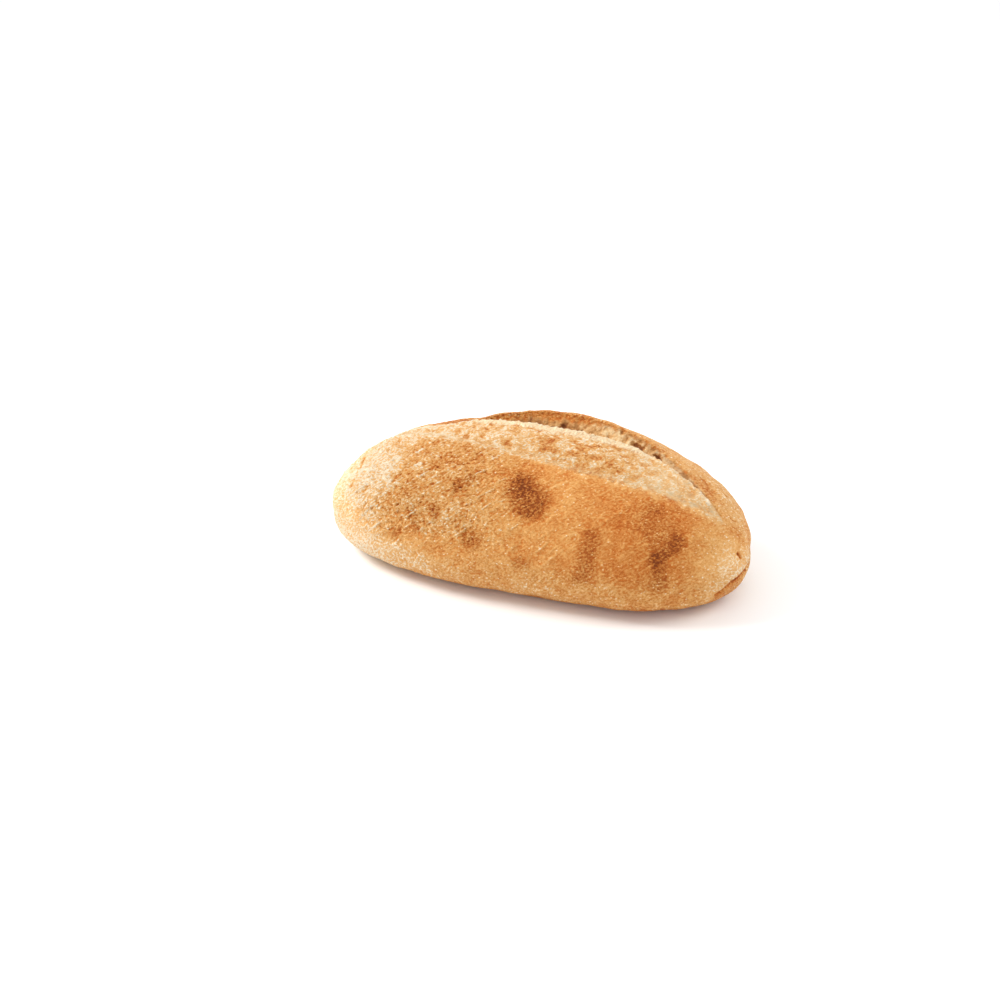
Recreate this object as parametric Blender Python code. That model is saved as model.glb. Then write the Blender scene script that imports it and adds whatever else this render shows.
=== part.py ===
"""Oval Italian loaf, baked with one long score along its top.

The loaf is one solid. It lies along X, rests on the flat of its underside at z = 0 and faces -Y.
Its plain form is a stack of rounded cross-sections along X. The score is relief on that form:
a ridge where the crust tore, a swollen band of bloom, a torn edge, a notch, and the raised
ear behind it. The origin is the centre of the loaf's footprint.
"""

import math

import bmesh
import bpy
from mathutils import Vector, noise

# Driving sizes, in metres
LENGTH = 0.250
WIDTH = 0.126
DOME_HEIGHT = 0.079  # without the ear

# Plan and side outline. u runs from -1 at the left tip to +1 at the right tip.
LEFT_TIP_POWER = 2.30  # 2 gives an elliptic tip, more gives a blunter one
RIGHT_TIP_POWER = 2.51
BOW = -0.010  # how far the tips lie in front of the middle
TWIST = 0.003  # leans the tips opposite ways, the left one back
HEIGHT_TAPER = -0.018  # the right half is the lower one
SHOULDER_DROP = -0.028  # the shoulders are lower than an even dome's

# Cross-section
BELLY_HEIGHT = 0.435 * DOME_HEIGHT  # where the loaf is widest
TIP_BELLY_SHARE = 0.8
DOME_POWER = 0.937
SIDE_POWER_TOP = 0.92
SIDE_POWER_BOTTOM = 0.80
TUCK_MIDDLE = 1.17  # belly to lowest point before the base is cut flat, in belly heights
TUCK_RIGHT = 0.031  # more of it leaves a wider base
TUCK_TIPS = 0.114
BASE_ROUNDING = 0.60
BASE_LIFT_POWER = 0.636  # how soon the underside leaves the table towards the tips

# The score runs slightly across the loaf. Each spindle is (left end, fullest, right end) along X.
AXIS_LEFT = Vector((-0.100, 0.0127))
AXIS_RIGHT = Vector((0.113, -0.0203))
RIDGE_SPINDLE = (-0.108, 0.020, 0.112)
EDGE_SPINDLE = (-0.090, 0.045, 0.110)
EAR_SPINDLE = (-0.050, 0.010, 0.106)
WALL_SPINDLE = (-0.075, 0.010, 0.112)
BLOOM_FRONT = 0.0225  # from the axis to the ridge
BLOOM_BACK = 0.0170  # from the axis to the torn edge
NOTCH_WIDTH = 0.0028
EAR_SETBACK = 0.0090  # from the notch to the ear's rim
LINE_GAP = 0.0009  # least spacing of the score's lines
FAN_START = 0.88  # past this u the lines fan out evenly to the tips
FAN_LENGTH = 0.10

RIDGE_LIFT = 0.0011
RIDGE_FALLOFF = 0.008
TROUGH_DEPTH = 0.0010
BLOOM_SWELL = 0.0012
EDGE_LIFT = 0.0012
NOTCH_DEPTH = 0.0066
EAR_LIFT = 0.0068
EAR_FALLOFF = 0.021

# Where this loaf is fuller than its plain form: (middle, radius, height)
SWELLINGS = (
    (Vector((0.068, -0.053, 0.008)), 0.018, 0.0028),
)
# Handmade unevenness of the crust: (size of the lumps, height), and how it fades at the base
LUMPS = ((0.050, 0.0008), (0.019, 0.0006))
LUMP_SEED = Vector((3.1, 7.7, 1.9))
BASE_FADE = 0.010

# Mesh
STATIONS = 74
STATION_CROWDING = 0.85  # 0 spaces the stations evenly, 1 crowds them at the tips
BASE_HALF_STEPS = 5
LOWER_FLANK_STEPS = 6
FRONT_STEPS = 15
BLOOM_STEPS = 11
NOTCH_STEPS = 2
EAR_WALL_STEPS = 4
BACK_STEPS = 13
LEAST_CORNER = 0.38 * math.pi  # keeps the underside's faces from collapsing towards the tips

CRUST_COLOUR = (0.62, 0.33, 0.12, 1.0)
CRUST_ROUGHNESS = 0.62


def signed_power(value, power):
    return math.copysign(abs(value) ** power, value)


def smooth_step(value):
    value = min(1.0, max(0.0, value))
    return value * value * (3.0 - 2.0 * value)


def tip_oval(u):
    """Share of the full width at u: 1 in the middle, 0 at both tips."""
    power = LEFT_TIP_POWER if u < 0 else RIGHT_TIP_POWER
    return math.sqrt(max(0.0, 1.0 - abs(u) ** power))


class Section:
    """Sizes of the cross-section at u."""

    def __init__(self, u):
        share = tip_oval(u)
        self.x = LENGTH / 2 * u
        self.centre_y = BOW * u * u + TWIST * (u**3 - 0.6 * u)
        self.half_width = WIDTH / 2 * share
        self.belly_z = BELLY_HEIGHT * (TIP_BELLY_SHARE + (1.0 - TIP_BELLY_SHARE) * share)
        self.rise = (DOME_HEIGHT - BELLY_HEIGHT) * share
        self.rise *= 1.0 + HEIGHT_TAPER * u + SHOULDER_DROP * u * u
        tuck = TUCK_MIDDLE + TUCK_RIGHT * u + TUCK_TIPS * u * u
        self.drop = BELLY_HEIGHT * tuck * share**BASE_LIFT_POWER

    def point(self, angle):
        """A point of the plain loaf. Angle 0 is the front of the belly and a quarter turn is the top."""
        across, up = math.cos(angle), math.sin(angle)
        if up >= 0:
            y = -self.half_width * signed_power(across, SIDE_POWER_TOP)
            z = self.belly_z + self.rise * up**DOME_POWER
        else:
            y = -self.half_width * signed_power(across, SIDE_POWER_BOTTOM)
            z = max(0.0, self.belly_z - self.drop * (-up) ** BASE_ROUNDING)
        return Vector((self.x, self.centre_y + y, z))

    def angle_at(self, y):
        """The angle of the top's point at y."""
        share = (y - self.centre_y) / max(self.half_width, 1e-6)
        share = 0.85 * math.tanh(share / 0.85)
        return math.acos(-signed_power(share, 1.0 / SIDE_POWER_TOP))

    def base_corner(self):
        """The angle, below the belly, where the flank meets the flat of the base."""
        share = min(1.0, self.belly_z / max(self.drop, 1e-6))
        return min(math.asin(share ** (1.0 / BASE_ROUNDING)), LEAST_CORNER)


def spindle(x, ends, power=1.0):
    """Share of a spindle's full size at x: 1 where it is fullest and 0 past its ends."""
    left, fullest, right = ends
    reach = fullest - left if x < fullest else right - fullest
    return max(0.0, 1.0 - ((x - fullest) / reach) ** 2) ** power


def score_lines(section):
    """The y of the ridge, the torn edge, the notch and the ear's rim at this section."""
    x = section.x
    along = (x - AXIS_LEFT.x) / (AXIS_RIGHT.x - AXIS_LEFT.x)
    axis_y = AXIS_LEFT.y + along * (AXIS_RIGHT.y - AXIS_LEFT.y)
    wall = spindle(x, WALL_SPINDLE, 1.5)
    ridge = axis_y - BLOOM_FRONT * spindle(x, RIDGE_SPINDLE) - LINE_GAP
    edge = axis_y + BLOOM_BACK * spindle(x, EDGE_SPINDLE) + LINE_GAP
    notch = edge + NOTCH_WIDTH * wall + LINE_GAP
    rim = notch + EAR_SETBACK * wall + LINE_GAP
    return ridge, edge, notch, rim


def line_angles(section, u):
    """The angles of the score's four lines, which spread evenly over the top towards the tips."""
    fan = smooth_step((abs(u) - FAN_START) / FAN_LENGTH)
    top_steps = (FRONT_STEPS, BLOOM_STEPS, NOTCH_STEPS, EAR_WALL_STEPS, BACK_STEPS)
    angles = []
    for index, y in enumerate(score_lines(section), start=1):
        even = math.pi * sum(top_steps[:index]) / sum(top_steps)
        angles.append((1.0 - fan) * section.angle_at(y) + fan * even)
    return angles


def ring_spans(section, u):
    """The ring round the loaf as (name, first angle, last angle, steps), from the middle of the base."""
    ridge, edge, notch, rim = line_angles(section, u)
    corner = section.base_corner()
    under = math.pi / 2
    return (
        ("base", -under, -corner, BASE_HALF_STEPS),
        ("flank", -corner, 0.0, LOWER_FLANK_STEPS),
        ("front", 0.0, ridge, FRONT_STEPS),
        ("bloom", ridge, edge, BLOOM_STEPS),
        ("notch", edge, notch, NOTCH_STEPS),
        ("ear_wall", notch, rim, EAR_WALL_STEPS),
        ("back", rim, math.pi, BACK_STEPS),
        ("flank", math.pi, math.pi + corner, LOWER_FLANK_STEPS),
        ("base", math.pi + corner, math.pi + under, BASE_HALF_STEPS),
    )


def bloom_height(along):
    """Height of the bloom from the ridge at 0 to the torn edge at 1: a trough and a swell."""
    trough = -TROUGH_DEPTH * math.exp(-(((along - 0.17) / 0.10) ** 2))
    swell = BLOOM_SWELL * math.sin(math.pi * smooth_step((along - 0.15) / 0.80))
    ridge = RIDGE_LIFT * math.exp(-((along / 0.09) ** 2))
    return trough + swell + ridge


def score_relief(span, along, arc, x):
    """How far the score lifts the surface. along is the share of the span, arc the distance along it."""
    bloom = spindle(x, RIDGE_SPINDLE)
    lip = EDGE_LIFT * spindle(x, EDGE_SPINDLE)
    depth = NOTCH_DEPTH * spindle(x, EDGE_SPINDLE, 0.7)
    ear = EAR_LIFT * spindle(x, EAR_SPINDLE, 1.5)
    if span == "front":
        return bloom * RIDGE_LIFT * math.exp(-((arc / RIDGE_FALLOFF) ** 2))
    if span == "bloom":
        return bloom * bloom_height(along) + lip * smooth_step((along - 0.80) / 0.20)
    if span == "notch":
        return lip - (lip + depth) * along
    if span == "ear_wall":
        return -depth + (depth + ear) * along**0.85
    if span == "back":
        return ear * math.exp(-((arc / EAR_FALLOFF) ** 1.5))
    return 0.0


def unevenness(point):
    """Swellings and lumps, which fade out at the base so that the loaf stands flat."""
    height = sum(amount * noise.noise(point / size + LUMP_SEED) for size, amount in LUMPS)
    for middle, radius, amount in SWELLINGS:
        height += amount * math.exp(-(((point - middle).length / radius) ** 2))
    return height * smooth_step(point.z / BASE_FADE)


def outward(section, u, angle):
    """The plain loaf's outward direction at u and angle, from two short steps over its surface."""
    step = 1e-3
    inner = max(-1.0 + step, min(1.0 - step, u))
    along = Section(inner + step).point(angle) - Section(inner - step).point(angle)
    around = section.point(angle + step) - section.point(angle - step)
    normal = along.cross(around)
    return normal.normalized() if normal.length > 0 else Vector((math.copysign(1.0, u), 0, 0))


def ring_points(u):
    """The points of the ring at u, from the middle of the base round by the front."""
    section = Section(u)
    points = []
    for span, first, last, steps in ring_spans(section, u):
        line = section.point(last if span == "front" else first)
        for k in range(steps):
            along = k / steps
            angle = first + (last - first) * along
            plain = section.point(angle)
            arc = (plain - line).length
            lift = score_relief(span, along, arc, section.x) + unevenness(plain)
            points.append(plain + outward(section, u, angle) * lift)
    return points


def station(index):
    """u of a station, from -1 to +1, closer together towards the tips."""
    even = 2.0 * index / STATIONS - 1.0
    return (1.0 - STATION_CROWDING) * even + STATION_CROWDING * math.sin(math.pi / 2 * even)


def loaf_mesh():
    """A ball whose rings are moved onto the loaf's cross-sections."""
    rings = [ring_points(station(i)) for i in range(1, STATIONS)]
    around = len(rings[0])
    form = bmesh.new()
    bmesh.ops.create_uvsphere(form, u_segments=around, v_segments=STATIONS, radius=1.0)
    for vertex in form.verts:
        polar = math.acos(max(-1.0, min(1.0, -vertex.co.z)))
        index = round(polar / math.pi * STATIONS)
        if index in (0, STATIONS):
            tip = Section(station(index))
            vertex.co = Vector((tip.x, tip.centre_y, tip.belly_z))
        else:
            turn = math.atan2(vertex.co.y, vertex.co.x) / math.tau
            vertex.co = rings[index - 1][round(turn * around) % around]
    bmesh.ops.triangulate(form, faces=form.faces)
    bmesh.ops.recalc_face_normals(form, faces=form.faces)
    mesh = bpy.data.meshes.new("italian_loaf")
    form.to_mesh(mesh)
    form.free()
    mesh.shade_smooth()
    return mesh


def crust_material():
    material = bpy.data.materials.new("baked_crust")
    material.use_nodes = True
    shader = material.node_tree.nodes["Principled BSDF"]
    shader.inputs["Base Color"].default_value = CRUST_COLOUR
    shader.inputs["Roughness"].default_value = CRUST_ROUGHNESS
    shader.inputs["Metallic"].default_value = 0.0
    return material


def clear_scene():
    for obj in list(bpy.data.objects):
        bpy.data.objects.remove(obj, do_unlink=True)


def main():
    clear_scene()
    collection = bpy.data.collections.new("italian_bread")
    bpy.context.scene.collection.children.link(collection)
    loaf = bpy.data.objects.new("loaf", loaf_mesh())
    loaf.data.materials.append(crust_material())
    collection.objects.link(loaf)


main()
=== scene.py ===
# %% [markdown]
# # An Italian loaf, dressed over its CAD solid
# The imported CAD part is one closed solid: a long oval loaf with a score along its top. This
# lesson copies that solid, gives the copy the crust of a baked loaf, and lights it softly.
# Everything is in the frame of the CAD part: metres, X along the loaf, -Y the front, Z up.

# %% The frame
import itertools
import math

import bmesh
import bpy
import numpy as np
from mathutils import Matrix, Vector


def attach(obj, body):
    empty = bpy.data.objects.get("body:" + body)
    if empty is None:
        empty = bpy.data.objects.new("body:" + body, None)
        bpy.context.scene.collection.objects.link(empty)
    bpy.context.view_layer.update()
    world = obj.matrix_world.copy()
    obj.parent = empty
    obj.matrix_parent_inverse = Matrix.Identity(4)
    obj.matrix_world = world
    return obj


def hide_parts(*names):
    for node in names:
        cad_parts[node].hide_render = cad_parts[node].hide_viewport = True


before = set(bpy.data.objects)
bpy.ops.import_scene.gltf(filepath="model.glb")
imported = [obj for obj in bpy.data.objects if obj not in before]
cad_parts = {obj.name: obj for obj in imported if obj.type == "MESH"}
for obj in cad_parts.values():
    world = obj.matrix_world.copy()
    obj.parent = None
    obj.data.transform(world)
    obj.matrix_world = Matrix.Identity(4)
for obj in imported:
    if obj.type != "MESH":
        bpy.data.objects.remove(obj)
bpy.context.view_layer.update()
MM = 0.001

# %% [markdown]
# ## The fine mesh
# The solid has facets of about 3 mm, too coarse for a crust whose wrinkles are 1 to 3 mm
# wide. The copy could be subdivided, but its facets are small at the tips and large in the
# middle. A voxel remesh gives even faces all over instead, and keeps the form. A few rounds
# of smoothing then take out the steps that the voxels leave.

# %% The fine mesh
VOXEL = 0.62 * MM

solid = bmesh.new()
solid.from_mesh(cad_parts["loaf"].data)
bmesh.ops.remove_doubles(solid, verts=solid.verts, dist=1e-6)
loaf_mesh = bpy.data.meshes.new("loaf_crust")
solid.to_mesh(loaf_mesh)
solid.free()
loaf = bpy.data.objects.new("loaf_crust", loaf_mesh)
bpy.context.scene.collection.objects.link(loaf)


def apply_modifiers(obj):
    """Makes the modifiers' result the object's own mesh."""
    graph = bpy.context.evaluated_depsgraph_get()
    obj.data = bpy.data.meshes.new_from_object(obj.evaluated_get(graph))
    obj.modifiers.clear()


remesh = loaf.modifiers.new("even_faces", "REMESH")
remesh.mode = "VOXEL"
remesh.voxel_size = VOXEL
smoothing = loaf.modifiers.new("no_steps", "SMOOTH")
smoothing.factor = 0.5
smoothing.iterations = 5
apply_modifiers(loaf)
print("fine mesh:", len(loaf.data.vertices), "vertices")

# %% [markdown]
# ## Points as arrays
# A baked crust is many layers of bumps on top of each other. Blender's own noise is called
# one point at a time. With a few hundred thousand points and some forty layers, numpy is
# many times faster, so the points are read once into arrays, in millimetres, and every
# layer below is one line of arithmetic.

# %% Points as arrays
count = len(loaf.data.vertices)
place = np.empty(count * 3)
loaf.data.vertices.foreach_get("co", place)
place = place.reshape(-1, 3) / MM
facing = np.empty(count * 3)
loaf.data.vertex_normals.foreach_get("vector", facing)
facing = facing.reshape(-1, 3)
x, y, z = place.T


def ramp(low, high, value):
    """0 below low, 1 above high and smooth between."""
    share = np.clip((value - low) / (high - low), 0.0, 1.0)
    return share * share * (3.0 - 2.0 * share)


def hump(value, width):
    """1 at zero, fading out on both sides over about this width."""
    return np.exp(-((value / width) ** 2))


print("the points reach from x =", round(float(x.min()), 1), "to", round(float(x.max()), 1), "mm")

# %% [markdown]
# ## Gradient noise
# Dough swells unevenly, in soft lumps of every size. Gradient noise draws that: each corner
# of a grid gets a slope of its own, and the slopes are blended smoothly in between. The
# slopes come from the numbers of the grid's cell, not from a random generator, so each run
# gives the same loaf.

# %% Gradient noise
def cell_number(cell, seed):
    """A number from 0 to 1 that looks random but always belongs to that cell."""
    i, j, k = (cell[:, n].astype(np.int64) for n in range(3))
    mix = (i * 73856093 ^ j * 19349663 ^ k * 83492791 ^ (seed + 1) * 2654435761) & 0xFFFFFFFF
    for shift, factor in ((15, 2246822519), (13, 3266489917)):
        mix = (mix ^ (mix >> shift)) * factor & 0xFFFFFFFF
    return ((mix ^ (mix >> 16)) & 0xFFFFFF) / 0x1000000


def rolling(points, size, seed):
    """Gradient noise from about -1 to 1, with lumps of this size in mm."""
    points = points / size
    cell = np.floor(points)
    inside = points - cell
    fade = inside**3 * (inside * (inside * 6 - 15) + 10)
    total = np.zeros(len(points))
    for corner in itertools.product((0, 1), repeat=3):
        slope = [cell_number(cell + corner, seed * 3 + n) * 2 - 1 for n in range(3)]
        weight = np.prod(np.where(corner, fade, 1 - fade), axis=1)
        total += weight * sum((inside[:, n] - corner[n]) * slope[n] for n in range(3))
    return total * 1.7


print("noise at the first point:", round(float(rolling(place[:1], 5.0, 0)[0]), 3))

# %% [markdown]
# ## Cell noise
# Dough is also full of bubbles. Cell noise scatters one centre in each cell of a grid and
# gives each point its distance from the nearest centre, and from the next one. Spheres
# placed one by one would do the same, but there are far too many of them.

# %% Cell noise
def bubbles(points, size, seed):
    """Cell noise: distances to the nearest and next centre in cells, and the nearest's number."""
    points = points / size
    cell = np.floor(points)
    near, after = np.full(len(points), 9.0), np.full(len(points), 9.0)
    number = np.zeros(len(points))
    for step in itertools.product((-1, 0, 1), repeat=3):
        home = cell + step
        centre = home + np.stack([cell_number(home, seed * 4 + n) for n in range(3)], axis=1)
        gap = np.linalg.norm(centre - points, axis=1)
        closer = gap < near
        after = np.where(closer, near, np.minimum(after, gap))
        number = np.where(closer, cell_number(home, seed * 4 + 3), number)
        near = np.minimum(near, gap)
    return near, after, number


print("nearest centre, in cells:", round(float(bubbles(place[:1], 5.0, 0)[0][0]), 3))

# %% [markdown]
# ## The loaf's plan
# Seen from above the loaf is a long oval, bowed forward at its tips, with a blunter right
# tip. The lines of the score follow that plan. They could be read off the solid's faces, but
# the few sizes that drew the plan give them more evenly, so those are written again here.

# %% The loaf's plan
HALF_LENGTH, HALF_WIDTH = 125.0, 63.0
BOW, TWIST = -10.0, 3.0
LEFT_TIP_POWER, RIGHT_TIP_POWER = 2.30, 2.51

u = np.clip(x / HALF_LENGTH, -1, 1)
tip_power = np.where(u < 0, LEFT_TIP_POWER, RIGHT_TIP_POWER)
share_of_width = np.sqrt(np.maximum(0.0, 1 - np.abs(u) ** tip_power))
centre_y = BOW * u * u + TWIST * (u**3 - 0.6 * u)
half_width = np.maximum(HALF_WIDTH * share_of_width, 1.0)
print("the plan's middle line runs to y =", round(float(centre_y.min()), 1), "mm at the tips")

# %% [markdown]
# ## The score's four lines
# The baker's cut opened while the loaf rose. From front to back it leaves a ridge where the
# crust tore, a band of new crust called the bloom, a torn edge, a notch, and the rim of the
# raised ear. The solid has these as relief, and here the same lines tell each point of the
# fine mesh which part of the crust it is on. Each line swells out from one axis, as far as
# a spindle says, and then follows its own relief up or down the slope.

# %% The score's four lines
AXIS_LEFT, AXIS_RIGHT = (-100.0, 12.7), (113.0, -20.3)
BLOOM_FRONT, BLOOM_BACK = 22.5, 17.0
NOTCH_WIDTH, EAR_SETBACK, LINE_GAP = 2.8, 9.0, 0.9
RIDGE_LIFT, EDGE_LIFT, EAR_LIFT = 1.1, 1.2, 6.8


def spindle(left, fullest, right, power=1.0):
    """Share of full size along the loaf: 1 where it is fullest, 0 past the ends."""
    reach = np.where(x < fullest, fullest - left, right - fullest)
    return np.maximum(0.0, 1.0 - ((x - fullest) / reach) ** 2) ** power


def line_on_top(line_y, lift):
    """Where a line drawn at line_y ends up after its relief has lifted it along the slope."""
    share = (line_y - centre_y) / half_width
    lean = np.clip(0.65 * share, -0.8, 0.8)
    return centre_y + half_width * 0.85 * np.tanh(share / 0.85) + lift * lean


axis_y = np.interp(x, *zip(AXIS_LEFT, AXIS_RIGHT))
# Each span begins, is fullest and ends at these x.
bloom_span = spindle(-108, 20, 112)
edge_span = spindle(-90, 45, 110)
wall_span = spindle(-75, 10, 112, 1.5)
ear_span = spindle(-50, 10, 106, 1.5)
ridge_y = axis_y - BLOOM_FRONT * bloom_span - LINE_GAP
edge_y = axis_y + BLOOM_BACK * edge_span + LINE_GAP
notch_y = edge_y + NOTCH_WIDTH * wall_span + LINE_GAP
rim_y = notch_y + EAR_SETBACK * wall_span + LINE_GAP
ridge_y = line_on_top(ridge_y, RIDGE_LIFT)
edge_y = line_on_top(edge_y, EDGE_LIFT * edge_span)
rim_y = line_on_top(rim_y, EAR_LIFT * ear_span)
print("ear rim at the middle, y:", round(float(rim_y[np.argmin(np.abs(x))]), 1))

# %% [markdown]
# ## Masks of the score
# A mask is 1 on one part of the crust and 0 elsewhere. It could be painted by hand on the
# mesh, but a ramp across a line is exact and can be changed in one place. The ridge and the
# torn edge are ragged on a real loaf, so both lines wander a little before the masks are
# cut from them.

# %% Masks of the score
along_only = place * (1, 0, 0)
ridge_y = ridge_y + 1.1 * rolling(along_only, 9, 1) + 0.7 * rolling(along_only, 3.5, 2)
edge_y = edge_y + 0.7 * rolling(along_only, 5, 3) + 0.6 * rolling(along_only, 2.2, 4)

upward = ramp(0.05, 0.35, facing[:, 2]) * ramp(34, 42, z)
opening = ramp(-47, -38, x)
past_ridge = ramp(-0.8, 0.8, y - ridge_y) * ramp(0.0, 0.06, bloom_span) * upward
before_edge = ramp(0.4, -0.4, y - edge_y)
past_edge = (1 - before_edge) * ramp(0.0, 0.04, edge_span) * upward
past_rim = ramp(-0.8, 0.6, y - rim_y) * upward
bloom = past_ridge * before_edge
wall = past_edge * (1 - past_rim) * ramp(0.0, 0.12, wall_span)
crust = 1 - past_ridge * (1 - past_rim)
ridge = hump(y - ridge_y, 1.6) * upward * ramp(0.05, 0.3, bloom_span)
lip = hump(y - edge_y + 0.9, 1.5) * upward * ramp(0.0, 0.25, edge_span)
rim = hump(y - rim_y - 0.3, 2.0) * upward * ramp(0.02, 0.3, wall_span)
print("bloom covers", int(100 * bloom.mean()), "% of the points, the notch", int(100 * wall.mean()))

# %% [markdown]
# ## Masks of the loaf
# The loaf baked unevenly: its left half is rougher, its low flank smoother, and its back is
# plainer. These masks change slowly over centimetres, so that no border shows. Across the
# ends, where the score has run out, the front turns into the back over a wider band.

# %% Masks of the loaf
apart = 1 + 9 * ramp(-45, -75, x) + 6 * ramp(85, 110, x)
rear = ramp(-apart, apart, y - rim_y)
low_flank = ramp(40, 20, z)
left = ramp(40, -70, x)
behind = ramp(0, 25, y - rim_y)
left_top = ramp(20, -40, x) * ramp(30, 50, z) * (1 - behind)
skin = ramp(50, 78, x)
print("the left top covers", int(100 * left_top.mean()), "% of the points")

# %% [markdown]
# ## How far below the rim
# The oven toasts the top of the crumb wall first, so its colour goes by the distance below
# the ear's rim. The rim isn't level. Its height is taken every 5 mm along the loaf, as the
# highest point near the rim's line, and read off in between.

# %% How far below the rim
station = np.arange(-125.0, 126.0, 5.0)
on_rim = np.abs(y - rim_y) < 2.0
rim_height = [z[on_rim & (np.abs(x - s) < 3.0)].max(initial=0.0) for s in station]
below_rim = np.interp(x, station, rim_height) - z
print("the rim is highest at z =", round(float(max(rim_height)), 1), "mm")

# %% [markdown]
# ## The crust's blisters and wrinkles
# Steam lifts small blisters on the crust, and they dry as round grains with creases between.
# The absolute value of noise has that shape: round hills, sharp valleys. Where the skin was
# stretched in shaping, the grains are drawn out into wrinkles, so there the noise is read
# in a frame turned along the pull, and squeezed across it. Burst blisters left pits on the
# left top, and a few long streaks stand proud. Sculpting could do this too, but not
# thousands of times and not the same on every run.

# %% The crust's blisters and wrinkles
PULL_ANGLE = math.radians(48)
GRAIN_HEIGHT, WRINKLE_HEIGHT, FINE_HEIGHT, LUMP_HEIGHT = 0.42, 0.16, 0.42, 0.45
PIT_DEPTH, STREAK_HEIGHT = 0.90, 1.35

uphill = y + z
along_pull = x * math.cos(PULL_ANGLE) + uphill * math.sin(PULL_ANGLE)
across_pull = -x * math.sin(PULL_ANGLE) + uphill * math.cos(PULL_ANGLE)
pull = np.stack([along_pull, across_pull, (y - z) / 2], axis=1)

rough = (0.32 + 0.80 * left * ramp(-135, -95, x)) * (1 - 0.50 * low_flank)
rough = rough * (1 - 0.4 * rear) * crust
grain = np.abs(rolling(place, 2.8, 10)) - 0.35
wrinkle = np.abs(rolling(pull / (4.5, 2.0, 15), 1.0, 11)) - 0.35
fine_grain = rolling(place, 1.6, 12)
streak = np.maximum(0, rolling(pull / (15, 1.8, 15), 1.0, 13) - 0.40)
near, _, number = bubbles(pull / (1.5, 1, 1), 2.9, 15)
pit = np.maximum(0, 0.5 - near) / 0.5 * (number > 0.35)
relief = rough * (GRAIN_HEIGHT * grain + WRINKLE_HEIGHT * wrinkle + FINE_HEIGHT * fine_grain)
relief -= PIT_DEPTH * pit * left_top * crust * (1 - rear)
relief += STREAK_HEIGHT * streak * crust * ramp(60, 10, x) * (1 - rear) * ramp(14, 30, z)
relief += LUMP_HEIGHT * rolling(place, 11, 14) * crust
print("crust relief, mm:", round(float(relief.min()), 2), "to", round(float(relief.max()), 2))

# %% [markdown]
# ## The bloom
# The bloom is younger, thinner crust. It wrinkles as it dries, keeps low lumps, and towards
# its right end it is a smooth skin with a net of fine creases. The net could be drawn line
# by line. It is where the borders between cells are instead: there the nearest and the next
# centre are equally far.

# %% The bloom
LUMPS, WRINKLES, FINEST, NET = 0.55, 0.65, 0.25, 0.22

score_turn = math.atan2(AXIS_RIGHT[1] - AXIS_LEFT[1], AXIS_RIGHT[0] - AXIS_LEFT[0])
along_score = x * math.cos(score_turn) + y * math.sin(score_turn)
across_score = -x * math.sin(score_turn) + y * math.cos(score_turn)
score_frame = np.stack([along_score, across_score, np.zeros(count)], axis=1)

near, after, _ = bubbles(score_frame * (0.7, 1.0, 1.0), 6.5, 20)
net = hump(after - near, 0.10)
bloom_lumps = rolling(score_frame * (0.8, 1.0, 1.0), 5.0, 21)
bloom_wrinkle = np.abs(rolling(place, 2.4, 22)) - 0.3
bloom_relief = (LUMPS - 0.25 * skin) * bloom_lumps + (1 - skin) * WRINKLES * bloom_wrinkle
bloom_relief += (1 - 0.7 * skin) * FINEST * rolling(place, 1.6, 23) + skin * NET * net
relief += bloom_relief * bloom
relief += (0.15 + 0.6 * rolling(along_only, 4, 24)) * ridge * (1 - 0.7 * skin)
print("bloom relief, mm:", round(float((bloom_relief * bloom).max()), 2))

# %% [markdown]
# ## The crumb wall
# Behind the torn edge the loaf shows its inside. The crumb is a foam: round holes of 1 to
# 4 mm with thin walls, pulled into strands where it tore upwards. Cutting real holes would
# open the mesh, so they are cell noise again, pushed in where a point is near a centre.

# %% The crumb wall
STRAND_HEIGHT, CRUMB_HEIGHT, HOLE_DEPTH, PORE_DEPTH = 0.40, 0.90, 0.5, 0.35
HOLE_RADIUS = 0.55  # of a cell

near, _, number = bubbles(place * (0.8, 1, 0.8), 3.6, 30)
holes = np.maximum(0, HOLE_RADIUS - near) / HOLE_RADIUS * (number > 0.45)
near, _, number = bubbles(place * (1.2, 1, 0.8), 1.9, 31)
pores = np.maximum(0, HOLE_RADIUS - near) / HOLE_RADIUS * (number > 0.3)
strand = rolling(place * (1, 0.25, 0.25), 1.9, 32)
crumb_lumps = rolling(place, 3.6, 33)
crumb_relief = STRAND_HEIGHT * strand + CRUMB_HEIGHT * crumb_lumps
crumb_relief = crumb_relief - HOLE_DEPTH * holes - PORE_DEPTH * pores
relief += crumb_relief * wall
print("deepest hole in the crumb, mm:", round(float((crumb_relief * wall).min()), 2))

# %% [markdown]
# ## The torn edge and the ear
# The edge tore as the dough rose, so it stands in small flakes, more in some places than in
# others. One noise makes the flakes and a slower one says where they fray. The ear's rim is
# knobbly, and the crust behind it has long, low swells. At its left end the torn edge runs
# out into a shallow dip.

# %% The torn edge and the ear
flakes = 0.8 * rolling(place, 2.0, 34) + 0.8 * rolling(along_only, 5.5, 35)
frayed = 0.15 + 1.3 * ramp(-0.3, 0.6, rolling(along_only, 8, 38))
relief += lip * (0.8 + flakes * frayed) * ramp(-58, -40, x)
relief += rim * (0.5 + 0.7 * rolling(place * (1, 0.4, 0.4), 2.6, 36)) * opening
relief -= 1.3 * ramp(-1, 3, y - edge_y) * ramp(-38, -48, x) * ramp(-86, -70, x) * upward
rear_relief = 0.35 * rolling(place * (0.3, 1, 1), 6, 37)
relief += rear_relief * rear * crust
print("relief so far, mm:", round(float(relief.min()), 2), "to", round(float(relief.max()), 2))

# %% [markdown]
# ## Slits and cracks
# A few marks belong to this one loaf. Each is a capsule: all the points near a short line
# between two places on the crust, found by one function for the distance. On the left the
# skin slit as it dried, and along the right end of the score it cracked. Low on the right
# is the fold where the dough was tucked under. A table keeps their places together.

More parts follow.
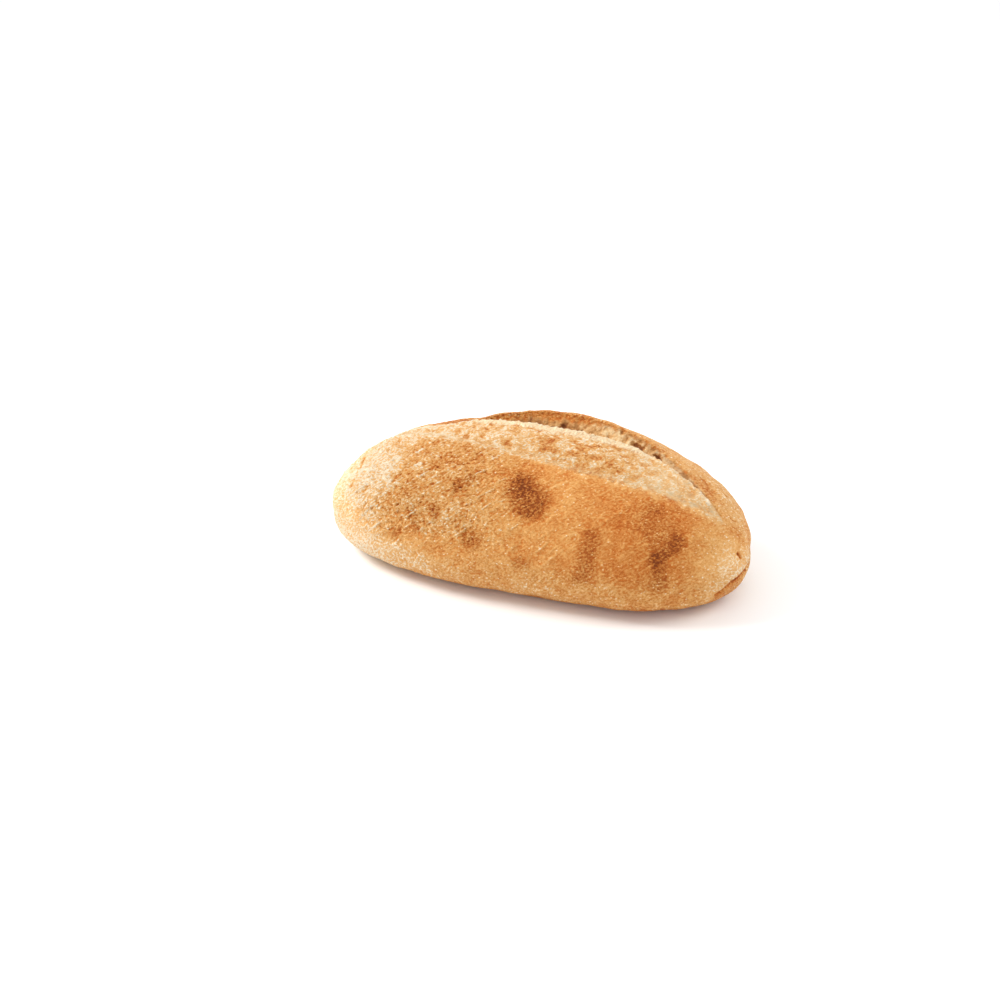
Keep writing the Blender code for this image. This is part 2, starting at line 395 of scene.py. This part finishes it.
# %% Slits and cracks
def distance(start, end):
    """How far each point is from the line between start and end, in mm."""
    start, end = np.array(start, float), np.array(end, float)
    line = end - start
    share = np.clip((place - start) @ line / max(line @ line, 1e-9), 0, 1)
    return np.linalg.norm(place - start - share[:, None] * line, axis=1)


SLITS = (  # start, end, width, depth
    ((-105, -22, 55), (-106, -12, 56), 1.3, 0.9),
    ((-107, -34, 48), (-105, -30, 53), 1.3, 0.6),
    ((-96, -40, 50), (-94, -38, 53), 1.3, 0.6),
    ((-90, -14, 65), (-87, -4, 67), 2.2, 0.5),
    ((-77, -40, 60), (-75, -37, 63), 1.6, 0.7),
    ((-64, -53, 50), (-62, -55, 47), 1.2, 0.8),
    ((120.5, -24, 36), (122, -22, 32), 0.9, 1.9),
    ((114, -11, 50), (116, -10, 48), 0.9, 0.8),
    ((106, 7, 56), (108, 6, 54), 1.0, 0.8),
    ((50, 14.5, 75), (56, 12.5, 73.5), 1.5, 2.2),
    ((64, 9.5, 72.5), (69, 6, 70.5), 0.9, 1.9),
    ((74, 2, 70), (78, -0.5, 69), 0.9, 1.7),
    ((82, -3, 68), (86, -6, 66), 1.0, 1.9),
    ((88, -8, 65.5), (92, -12, 63), 0.8, 1.5),
    ((94, -14, 62), (98, -18, 60), 0.8, 1.1),
    ((3, -6, 80), (5, -7, 80), 3.5, 0.7),
    ((95, 4, 63), (101, -1, 60), 3.0, 0.5),
    ((124, -6, 21), (124, -15, 20), 1.2, 1.1),
    ((124, -15, 20), (119, -29, 19), 1.2, 1.2),
    ((119, -29, 19), (112, -36, 14), 1.2, 1.1),
)
opened = np.zeros(count)
torn_sides = 1 + 0.35 * rolling(place, 2.0, 45)
for start, end, width, depth in SLITS:
    opened = np.maximum(opened, depth * hump(distance(start, end) * torn_sides, width))
print("points in a slit:", int((opened > 0.4).sum()))

# %% [markdown]
# ## Folds
# Where the skin slid over the dough it folded into low threads, a few centimetres long, up
# the front. They are capsules too, raised instead of sunk. The slits go in after them.

# %% Folds
FOLDS = (  # start, end, width, height
    ((48, -52, 59), (57, -45, 63), 1.0, 0.35),
    ((57, -45, 63), (60, -40, 66), 1.0, 0.35),
    ((-25, -59, 49), (-9, -52, 62), 0.9, 0.40),
    ((-38, -60, 43), (-25, -58, 51), 0.9, 0.35),
    ((26, -55, 58), (37, -41, 68), 0.9, 0.35),
    ((-4, -59, 52), (7, -54, 59), 0.9, 0.35),
)
for start, end, width, height in FOLDS:
    relief += height * hump(distance(start, end), width)
relief -= opened
print("folds:", len(FOLDS), "and the deepest slit, mm:", round(float(opened.max()), 2))

# %% [markdown]
# ## Moving the points
# The relief moves each point along its normal, as a Displace modifier would, but from the
# array that is already here. Near the table it fades, so the loaf still stands on its flat.
# The ear's rim also leans forward over the notch, and the torn edge curls back and forth.

# %% Moving the points
RIM_LEAN, LIP_CURL = 1.3, 1.1

relief *= ramp(0.2, 3.5, z)
moved = place + facing * relief[:, None]
moved[:, 1] -= RIM_LEAN * rim * (0.8 + 0.5 * rolling(along_only, 5, 40))
curl = rolling(place, 3.2, 41) + 0.7 * rolling(place, 1.7, 42)
moved[:, 1] += LIP_CURL * lip * frayed * curl
moved[:, 2] = np.maximum(moved[:, 2], 0.0)
loaf.data.vertices.foreach_set("co", (moved * MM).ravel())
print("furthest move, mm:", round(float(np.abs(moved - place).max()), 2))

# %% [markdown]
# ## How brown the crust is
# The oven browned the front and the ear's rim, and left the ends, the left top and the low
# flank pale. All of it is one number per point, from 0 for pale to 1 for almost burnt, and
# the material turns it into colour. A painted picture would do as well, but it would have
# to be wrapped around the loaf, and a number per point needs no wrapping.

# %% How brown the crust is
CRUST_BROWN = 0.49

browning = CRUST_BROWN - 0.36 * ramp(-58, -114, x)
browning = browning - 0.15 * left_top - 0.14 * rear * ramp(35, 60, z)
browning -= 0.31 * ramp(86, 124, x) * (1 - 0.7 * rear)  # the right end, less so behind
browning += 0.16 * rear * ramp(-40, -90, x)  # the back of the left end
browning += 0.10 * ramp(20, 60, x) * (1 - rear)  # the right front
browning += 0.09 * hump(y - ridge_y + 14, 13) * ramp(-78, -42, x) * ramp(15, -15, x) * upward
browning -= 0.12 * low_flank + 0.15 * low_flank * ramp(-20, -80, x)
browning -= 0.20 * ramp(50, 64, z) * ramp(-68, -98, x) * (1 - 0.8 * rear)  # the left shoulder
browning -= 0.34 * ramp(-3, 3, y - ridge_y) * ramp(-38, -55, x) * upward * (1 - 0.7 * rear)
browning += 0.04 * rolling(place, 17, 50) + 0.06 * rolling(place, 6, 51)  # mottled
browning -= 0.35 * streak * (1 - rear)  # paler along the streaks
browning += 0.14 * rear * rolling(score_frame * (0.15, 1, 1), 3.5, 57)  # bands behind
print("crust browning, 0 to 1, on average:", round(float(browning.mean()), 2))

# %% [markdown]
# ## Brown spots
# Hot places in the oven leave darker spots with ragged edges. Each is a capsule once more,
# fading out over its radius. Spots that overlap add up as the sides of a right angle do, so
# no place gets twice as dark. The crust tucked under at the right is browner too.

# %% Brown spots
SPOTS = (  # start, end, radius, how much browner
    ((1, -43, 69), (8, -49, 64), 10.8, 0.30),
    ((-38, -45, 65), (-30, -40, 69), 3.5, 0.16),
    ((-48, -55, 54), (-47, -55, 53), 4.0, 0.18),
    ((-64, -51, 55), (-58, -58, 42), 3.5, 0.14),
    ((-73, -56, 36), (-71, -56, 36), 6.0, 0.13),
    ((-90, -46, 40), (-82, -51, 37), 7.0, 0.09),
    ((-74, -48, 52), (-58, -52, 50), 13.0, 0.05),
    ((-25, -62, 41), (-22, -61, 42), 6.0, 0.12),
    ((4, -63, 32), (6, -63, 32), 5.0, 0.14),
    ((81, -54, 43), (91, -45, 50), 4.8, 0.20),
    ((81, -54, 42), (83, -55, 28), 5.2, 0.18),
    ((74, -42, 61), (79, -46, 56), 12.0, 0.11),
    ((45, -57, 52), (40, -62, 29), 6.0, 0.16),
)
ragged = 0.18 * rolling(place, 6, 54) + 0.20 * rolling(place, 2.5, 55)
spotted = np.zeros(count)
for start, end, radius, amount in SPOTS:
    darker = amount * ramp(1.35, 0.35, distance(start, end) / radius + ragged)
    spotted = np.hypot(spotted, darker)
tucked = ramp(0.5, -2.0, z - 14 - 0.7 * (x - 112)) * ramp(104, 112, x) * (1 - rear)
browning += spotted + 0.30 * tucked
pale_patch = ramp(1.6, 0.2, distance((-84, -38, 58), (-98, -34, 54)) / 12)
browning -= 0.15 * pale_patch
print("browner by a spot:", int(100 * (spotted > 0.05).mean()), "% of the points")

# %% [markdown]
# ## How brown the bloom and the rim are
# The bloom opened late and had less time to brown, so it stays pale, with orange patches.
# The ear's rim stands out and is toasted, down into the notch and a little way back. On the
# crust, painted highlight makes the tops of the relief paler, and painted shade makes its
# hollows and the slits browner.

# %% How brown the bloom and the rim are
BLOOM_BROWN, TOASTED_BROWN = 0.22, 0.63
PALEST = 0.18

bloom_brown = BLOOM_BROWN - 0.19 * ramp(-35, -75, x) + 0.11 * hump(x - 28, 25)
bloom_brown += 0.36 * rolling(place, 5.2, 52) + 0.22 * rolling(place, 2.3, 53)
soft = 1.0 + 4.5 * ramp(-20, 70, x)
bloom_colour = ramp(-1, 1, (y - ridge_y + 2.0 * rolling(place, 5, 56)) / soft)
bloom_colour *= before_edge * ramp(0.0, 0.06, bloom_span) * upward
browning = browning * (1 - bloom_colour) + bloom_brown * bloom_colour
# The band narrows and pales to the right of x = 15 mm: painted light on the wall there, and painted
# shade on its left part.
toasted = ramp(4.6, 2.0, below_rim + 1.5 * rolling(place, 3, 58) + 1.8 * ramp(15, 40, x))
toasted *= past_edge * opening
behind_rim = ramp(7, 0.5, y - rim_y + 2 * rolling(place, 5, 59))
toasted = np.maximum(toasted, behind_rim * rear * opening)
toasted *= upward
toast_level = TOASTED_BROWN - 0.12 * ramp(1, 6, y - rim_y) - 0.06 * ramp(15, 40, x)
toast_level = toast_level + 0.14 * rolling(place, 2.2, 62)
browning += toasted * (toast_level - browning) * 0.9
# Browner near the table. Painted shade browns low relief and the slits, and painted highlight pales
# high relief.
browning += 0.20 * ramp(9, 3, z) - (0.20 + 0.16 * left_top) * relief * (1 - wall) + 0.25 * opened
browning = np.where(browning < PALEST, PALEST - 0.4 * (PALEST - browning), browning)
print("browning:", round(float(browning.min()), 2), "to", round(float(browning.max()), 2))

# %% [markdown]
# ## Flour and the torn edge
# Flour from the shaping lies in patches on the bloom and in the trough behind the ridge.
# The torn edge dried without browning and is almost white, in a band that is widest near
# the middle and has a ragged front.

# %% Flour and the torn edge
trough = hump(y - ridge_y - 3.5, 3.0) * bloom
flour = 0.55 * trough + 0.60 * skin * bloom_colour * (1 - 0.7 * net) + 0.06 * bloom_colour
edge_band = 5.0 + 3.6 * hump(x - 5, 16) + 2.2 * hump(x - 34, 12)
edge_band = edge_band + 1.5 * rolling(along_only, 7, 60) + 1.5 * rolling(place, 3, 63)
torn = ramp(-edge_band, -0.25 * edge_band, y - edge_y) * (1 - ramp(0.3, 1.5, y - edge_y))
torn *= upward * opening * ramp(74, 50, x) * (1.15 + 0.6 * rolling(place, 1.8, 64))
torn = np.clip(torn, 0, 1)
print("white edge on", int((torn > 0.5).sum()), "points")

# %% [markdown]
# ## The crumb's painted light and shade, and the fine grain
# The crumb gets painted light to the right, where the notch opens to the light, and on its
# lumps, and painted shade in its holes and pores, more of it deeper below the rim, and in the
# slits. The last mask says how strong the fine grain of the material is: most on the left
# top and in the spots, and least on the front of the crust. It also sets how strong the
# painted shade and highlight on the grain are.

# %% The crumb's painted light and shade, and the fine grain
crumb = wall * (1 - toasted) * opening
# Painted light to the right and on the lumps, and painted shade in the holes, pores and slits.
crumb_painted_light = ramp(16, 30, x) - 0.30 + 0.9 * crumb_lumps
crumb_painted_shade = 0.6 * holes + 0.6 * pores * (0.5 + ramp(5, 9, below_rim)) + 0.5 * (opened > 0.5)
fine = 0.82 + 0.60 * left_top * ramp(-118, -95, x) + 0.38 * low_flank + 2.8 * spotted
fine = np.where(bloom > 0.5, 1.30 - 0.30 * skin, fine) + 0.3 * rim + 0.2 * rear
fine *= 1 - 0.25 * rear * ramp(-35, -85, x)
print("strength of the fine grain:", round(float(fine.min()), 2), "to", round(float(fine.max()), 2))

# %% [markdown]
# ## Keeping the numbers on the mesh
# The masks become attributes, which travel with the mesh. Then the fine mesh is thinned to
# what one piece may have. Decimate keeps more triangles where the surface bends, so the
# wrinkles stay and the plain places give theirs up, and it carries the attributes along.

# %% Keeping the numbers on the mesh
TRIANGLES = 197000
KEPT = {
    "browning": browning,
    "flour": flour,
    "torn": torn,
    "crumb": crumb,
    # The crumb's painted shade, less its painted light.
    "hole": crumb_painted_shade - 0.4 * crumb_painted_light,
    "fine": fine,
}
for name, values in KEPT.items():
    attribute = loaf.data.attributes.new(name, "FLOAT", "POINT")
    attribute.data.foreach_set("value", values.astype(np.float32))
attribute = loaf.data.attributes.new("pull", "FLOAT_VECTOR", "POINT")
attribute.data.foreach_set("vector", (pull * MM).astype(np.float32).ravel())

thinning = loaf.modifiers.new("fewer_faces", "DECIMATE")
loaf.data.calc_loop_triangles()
thinning.ratio = min(1.0, TRIANGLES / len(loaf.data.loop_triangles))
apply_modifiers(loaf)
loaf.data.shade_smooth()
loaf.data.calc_loop_triangles()
print("triangles:", len(loaf.data.loop_triangles))

# %% [markdown]
# ## Colours
# A swatch or a screen gives a colour in sRGB, as a hex number, but light adds up in linear
# numbers, which Blender mixes. One function turns the first kind into the second.

# %% Colours
def linear(hex_colour):
    """An sRGB hex colour as the linear RGBA that nodes use."""
    parts = [int(hex_colour[i : i + 2], 16) / 255 for i in (1, 3, 5)]
    return [p / 12.92 if p <= 0.04045 else ((p + 0.055) / 1.055) ** 2.4 for p in parts] + [1.0]


print("golden crust in linear light:", [round(p, 2) for p in linear("#e5a962")[:3]])

# %% [markdown]
# ## Nodes
# A material is a small network of nodes, worked out at every point of a picture. One
# function adds a node with its settings and links, and three short ones add the kinds that
# are used most. The network could be drawn by hand, but written down it can be read again.

# %% Nodes
material = bpy.data.materials.new("baked_wheat_crust")
material.use_nodes = True
tree = material.node_tree
tree.nodes.clear()


def add(kind, inputs, **settings):
    """Adds a node and returns its outputs. inputs maps a socket's name or number to a plain
    value or to another node's output, and settings are the node's own."""
    made = tree.nodes.new("ShaderNode" + kind)
    for name, value in settings.items():
        setattr(made, name, value)
    for socket, value in inputs.items():
        if isinstance(value, bpy.types.NodeSocket):
            tree.links.new(value, made.inputs[socket])
        else:
            made.inputs[socket].default_value = value
    return made.outputs


def maths(operation, *values, clamp=False):
    """The result of a Math node. MULTIPLY_ADD gives first times second, plus third."""
    return add("Math", dict(enumerate(values)), operation=operation, use_clamp=clamp)[0]


def mixed(share, first, second):
    """Two colours mixed. A Mix node has its colours at inputs 6 and 7 and output 2."""
    return add("Mix", {0: share, 6: first, 7: second}, data_type="RGBA")[2]


def paint(number, stops):
    """A number as a colour, from stops that are each a position and a hex colour."""
    colour = add("ValToRGB", {"Fac": number})["Color"]
    band = colour.node.color_ramp.elements
    while len(band) < len(stops):
        band.new(0.5)
    for element, (position, hex_colour) in zip(band, stops):
        element.position = position
        element.color = linear(hex_colour)
    return colour


print("material:", material.name)

# %% [markdown]
# ## The crust's fine grain
# Blisters smaller than 2 mm are left to the material, as the mesh can't hold them. Smooth
# noise, drawn out along the pull, makes one height from 0 to 1. The same height sets the
# bump, and it also paints the colour: painted highlight on the tops and painted shade in the
# creases. In a Map Range node, inputs 1 and 2 are the range that is spread over 0 to 1.

# %% The crust's fine grain
GRAIN_SIZE = Vector((1.8, 1.3, 1.3)) * MM

where = add("TexCoord", {})["Object"]
drawn = add("Attribute", {}, attribute_name="pull")["Vector"]
stored = {name: add("Attribute", {}, attribute_name=name)["Fac"] for name in KEPT}

grain_place = add("Mapping", {"Vector": drawn, "Scale": [1 / s for s in GRAIN_SIZE]})[0]
noise_settings = {"Vector": grain_place, "Scale": 1.0, "Detail": 4.0, "Roughness": 0.62}
noise = add("TexNoise", noise_settings)[0]
grain_height = add("MapRange", {0: noise, 1: 0.30, 2: 0.70}, interpolation_type="SMOOTHSTEP")[0]
print("fine grain, mm:", [round(s / MM, 1) for s in GRAIN_SIZE])

# %% [markdown]
# ## Specks
# The tips of the smallest blisters dry out at once and stay pale, as specks under 1 mm.
# Each cell of a Voronoi pattern has one, of a random size, and many are too small to see.

# %% Specks
SPECK_SIZE = Vector((2.3, 1.5, 1.5)) * MM
LARGEST_SPECK, SPECK_EDGE = 0.29, 0.08  # in cells

speck_place = add("Mapping", {"Vector": drawn, "Scale": [1 / s for s in SPECK_SIZE]})[0]
speck_cells = add("TexVoronoi", {"Vector": speck_place, "Scale": 1.0})
speck_random = add("SeparateColor", {"Color": speck_cells["Color"]})[0]
speck_radius = maths("MULTIPLY", speck_random, LARGEST_SPECK)
speck_gap = maths("SUBTRACT", speck_cells["Distance"], speck_radius)
speck = add("MapRange", {0: speck_gap, 1: SPECK_EDGE, 2: -SPECK_EDGE})[0]
print("one speck in each cell of, mm:", [round(s / MM, 1) for s in SPECK_SIZE])

# %% [markdown]
# ## Baked wheat crust
# Crust is dry gluten and starch browned by the oven. The eye reads it by its colour: cream
# where the dough is barely baked, then gold, then brown. A colour ramp over the browning
# number does that. Before it, the mottling makes the number larger, painted shade makes it
# larger in the creases of the grain and painted highlight smaller on their tops, and the
# specks make it smaller.

# %% Baked wheat crust
MOTTLE_SIZE = 4.0 * MM
MOTTLING, PAINTED_GRAIN_SHADE, SPECK_PALE, PALER_BY = 0.22, 0.37, 0.36, 0.11
BAKED = (
    (0.00, "#f8e4c6"),
    (0.12, "#f2cd9b"),
    (0.24, "#edb776"),
    (0.36, "#e5a962"),
    (0.47, "#dd9a53"),
    (0.58, "#d2853e"),
    (0.70, "#c56d26"),
    (0.83, "#af5818"),
    (1.00, "#863e10"),
)

mottle = add("TexNoise", {"Vector": where, "Scale": 1 / MOTTLE_SIZE, "Detail": 2.0})[0]
brown = maths("MULTIPLY_ADD", mottle, MOTTLING, stored["browning"])
# Painted shade in the creases of the grain, painted highlight on its tops.
painted_grain_shade = maths("SUBTRACT", 0.5, grain_height)
painted_grain_shade = maths("MULTIPLY", painted_grain_shade, stored["fine"])
brown = maths("MULTIPLY_ADD", painted_grain_shade, PAINTED_GRAIN_SHADE, brown)
brown = maths("MULTIPLY_ADD", speck, -SPECK_PALE, brown)
brown = maths("SUBTRACT", brown, PALER_BY, clamp=True)
crust_colour = paint(brown, BAKED)
print("nodes for the crust's colour:", len(tree.nodes))

# %% [markdown]
# ## Flour on the crust
# Flour browns a little with the loaf and dulls the crust under it. It lies unevenly, so its
# mask is multiplied by a noise of 3 mm before the colours are mixed.

# %% Flour on the crust
FLOUR_SIZE = 3.0 * MM
FLOURY = "#d8bb90"

flour_noise = add("TexNoise", {"Vector": where, "Scale": 1 / FLOUR_SIZE, "Detail": 3.0})[0]
flour_patch = add("MapRange", {0: flour_noise, 1: 0.28, 2: 0.72})[0]
flour_amount = maths("MULTIPLY", stored["flour"], flour_patch)
floury = mixed(flour_amount, crust_colour, linear(FLOURY))
print("nodes with the flour:", len(tree.nodes))

# %% [markdown]
# ## Crumb
# Crumb is the set foam of the dough: off-white and matt. Here it faces the oven through the
# open notch, so it has toasted to tan, with painted shade in its holes, where no light
# reaches. The torn edge in front of it is nearly white, with painted highlight on the tops
# of its grain and painted shade in its creases.

# %% Crumb
CRUMB_SIZE = 1.6 * MM
TORN_WHITE = "#fde5bd"
TOASTED = (
    (0.00, "#f6d6a4"),
    (0.25, "#e3b277"),
    (0.45, "#c68f55"),
    (0.75, "#a4683a"),
    (1.00, "#733f1c"),
)

crumb_noise = add("TexNoise", {"Vector": where, "Scale": 1 / CRUMB_SIZE, "Detail": 2.0})[0]
toast = maths("MULTIPLY_ADD", crumb_noise, 0.7, stored["hole"])
crumb_colour = paint(toast, TOASTED)
inside = mixed(stored["crumb"], floury, crumb_colour)
# Painted highlight on the tops of the torn edge's grain, painted shade in its creases.
torn_painted_light = maths("MULTIPLY_ADD", painted_grain_shade, -0.9, 1.0)
torn_share = maths("MULTIPLY", torn_painted_light, stored["torn"], clamp=True)
surface_colour = mixed(torn_share, inside, linear(TORN_WHITE))
print("nodes with the crumb:", len(tree.nodes))

# %% [markdown]
# ## The finished material
# Real crust is matt, with a faint sheen where the blisters are smooth. So the roughness is
# 0.65, the IOR that of starch, about 1.45, and the reflection is kept low. The fine grain
# is a bump 0.66 mm high. It could be real relief, but not within what one piece may have.

# %% The finished material
BUMP_HEIGHT = 0.66 * MM
SPECK_HEIGHT = 0.15  # of the grain's height

speck_lift = maths("MULTIPLY_ADD", speck, SPECK_HEIGHT, grain_height)
bump_height = maths("MULTIPLY", speck_lift, stored["fine"])
bump = add("Bump", {"Strength": 1.0, "Distance": BUMP_HEIGHT, "Height": bump_height})[0]
shader = add(
    "BsdfPrincipled",
    {
        "Base Color": surface_colour,
        "Roughness": 0.65,
        "IOR": 1.45,
        "Specular IOR Level": 0.22,
        "Normal": bump,
    },
)[0]
add("OutputMaterial", {"Surface": shader})
loaf.data.materials.clear()
loaf.data.materials.append(material)
print(material.name, "has", len(tree.nodes), "nodes")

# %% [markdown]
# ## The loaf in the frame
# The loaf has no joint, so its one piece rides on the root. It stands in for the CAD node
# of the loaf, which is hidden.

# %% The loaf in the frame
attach(loaf, "root")
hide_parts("loaf")
print("pieces of the loaf: 1, with", len(loaf.data.vertices), "vertices")

# %% [markdown]
# ## Floor
# The loaf stands on a plain pale floor, matt as paper, which takes its soft shadow and
# doesn't mirror it. The disc reaches 6 m from the loaf, so this camera doesn't see its edge.
# Only the loaf is the part; the floor is not.

# %% Floor
FLOOR_RADIUS = 6.0

ground = bmesh.new()
bmesh.ops.create_circle(ground, cap_ends=True, radius=FLOOR_RADIUS, segments=64)
floor_mesh = bpy.data.meshes.new("floor")
ground.to_mesh(floor_mesh)
ground.free()
floor = bpy.data.objects.new("floor", floor_mesh)
bpy.context.scene.collection.objects.link(floor)
paper = bpy.data.materials.new("matt_paper")
paper.use_nodes = True
paper_shader = paper.node_tree.nodes["Principled BSDF"]
paper_shader.inputs["Base Color"].default_value = linear("#fafafa")
paper_shader.inputs["Roughness"].default_value = 0.9
floor.data.materials.append(paper)
print("floor, m across:", 2 * FLOOR_RADIUS)

# %% [markdown]
# ## Light
# The light is a studio's. The surround is bright and white. A key lamp from the upper left,
# a little in front, grazes the crust and shows its relief. A weaker and larger lamp, from
# the right and a little behind, lifts the shadows. A lamp's size says how soft its shadows
# are, and 0.4 m across at 1.2 m is soft.

# %% Light
SURROUND = 0.90
LAMPS_AWAY = 1.2
LOAF_MIDDLE = Vector((0, 0, 0.04))

world = bpy.data.worlds.new("studio")
bpy.context.scene.world = world
world.use_nodes = True
backdrop = world.node_tree.nodes["Background"]
backdrop.inputs["Color"].default_value = linear("#ffffff")
backdrop.inputs["Strength"].default_value = SURROUND


def lamp(name, direction, size, watts):
    """A white, square area lamp that looks at the loaf from this direction."""
    data = bpy.data.lights.new(name, "AREA")
    data.shape = "SQUARE"
    data.size = size
    data.energy = watts
    data.color = linear("#ffffff")[:3]
    made = bpy.data.objects.new(name, data)
    direction = Vector(direction).normalized()
    made.location = direction * LAMPS_AWAY + LOAF_MIDDLE
    made.rotation_mode = "QUATERNION"
    made.rotation_quaternion = direction.to_track_quat("Z", "Y")
    bpy.context.scene.collection.objects.link(made)
    return made


for made in (
    lamp("key", (-0.76, -0.14, 0.70), size=0.42, watts=11.0),
    lamp("fill", (0.8, 0.4, 0.6), size=0.6, watts=4.8),
):
    print(made.name, "lamp at, m:", [round(v, 2) for v in made.location])

# %% [markdown]
# ## Camera
# The camera stands to the right of the front and looks down at 30 degrees. The loaf isn't
# in the middle of the picture, but a little to the right of it and above. So the camera
# turns, instead of shifting its lens, by that many pixels over the length of the lens in
# pixels.

# %% Camera
AZIMUTH, ELEVATION = math.radians(16.274), math.radians(30.0)
DISTANCE = 1.1
LENS, SENSOR = 67.76, 36.0
LENS_IN_PIXELS = 1882.3
OFF_RIGHT, OFF_UP = 40.74 / LENS_IN_PIXELS, 0.97 / LENS_IN_PIXELS
TARGET = Vector((0.0, -0.0033, 0.040))

back = Vector(
    (
        math.sin(AZIMUTH) * math.cos(ELEVATION),
        -math.cos(AZIMUTH) * math.cos(ELEVATION),
        math.sin(ELEVATION),
    )
)
right = Vector((math.cos(AZIMUTH), math.sin(AZIMUTH), 0))
up = back.cross(right)
sight = (-back - right * OFF_RIGHT - up * OFF_UP).normalized()
side = (right - sight * right.dot(sight)).normalized()
camera_data = bpy.data.cameras.new("camera")
camera_data.lens = LENS
camera_data.sensor_width = SENSOR
camera = bpy.data.objects.new("camera", camera_data)
bpy.context.scene.collection.objects.link(camera)
bpy.context.scene.camera = camera
turned = Matrix((side, side.cross(sight), -sight)).transposed().to_4x4()
camera.matrix_world = Matrix.Translation(TARGET + back * DISTANCE) @ turned
bpy.context.scene.view_settings.view_transform = "Standard"
print("camera at, m:", [round(v, 3) for v in camera.matrix_world.translation])
